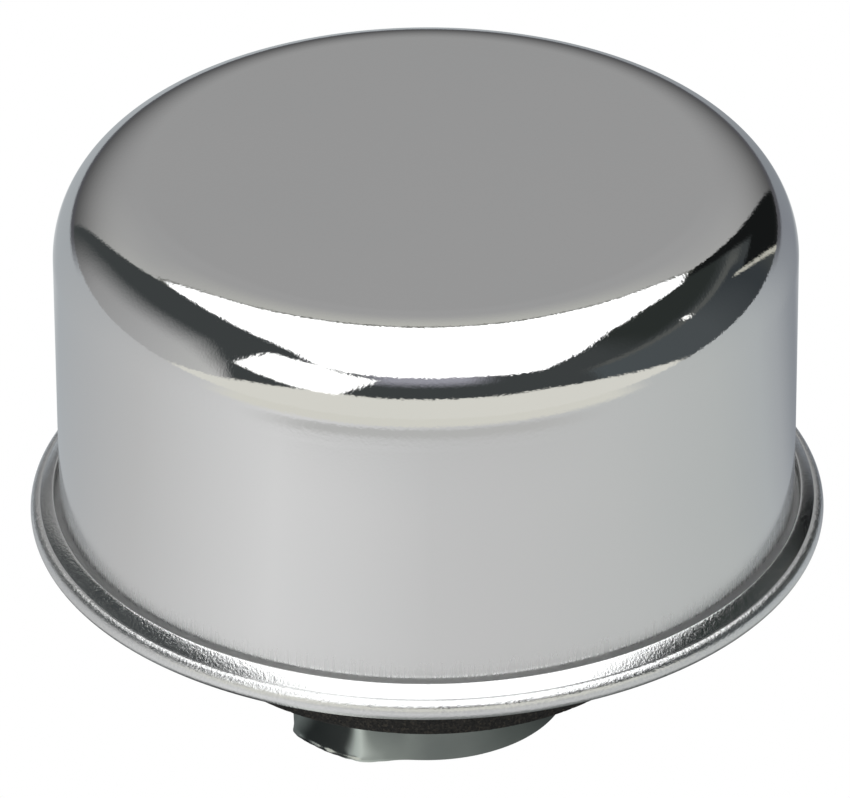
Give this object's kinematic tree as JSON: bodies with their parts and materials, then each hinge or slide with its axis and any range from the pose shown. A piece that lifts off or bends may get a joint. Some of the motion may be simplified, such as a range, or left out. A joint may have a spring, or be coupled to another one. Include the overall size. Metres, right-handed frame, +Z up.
{
  "type": "crankcase breather filter",
  "caption": "Twist-in crankcase breather: round chrome cap seamed to a dished pan with air inlet holes, mesh filter inside, bayonet neck and sealing gasket below.",
  "frame": {"origin": "middle of the neck's bottom edge, on the cap's axis", "axes": "+Z up the axis towards the cap's flat top, +X through the middle of one bayonet cam"},
  "size_m": [0.0824, 0.0824, 0.062],
  "materials": {
    "chrome_cap": "bright polished chrome plate",
    "chrome_pan": "bright plate, slightly grained on the hem",
    "zinc_neck": "zinc plate, satin",
    "gasket_foam": "matt cellular rubber",
    "inner_steel": "plain steel",
    "wire_mesh": "crimped knitted wire"
  },
  "bodies": {
    "root": {"cap_shell": "chrome_cap", "base_pan": "chrome_pan", "neck": "zinc_neck", "gasket": "gasket_foam", "inlet_screen": "inner_steel", "filter_element": "wire_mesh", "center_tube": "inner_steel", "end_plate": "inner_steel", "splash_baffle": "inner_steel"}
  },
  "joints": []
}
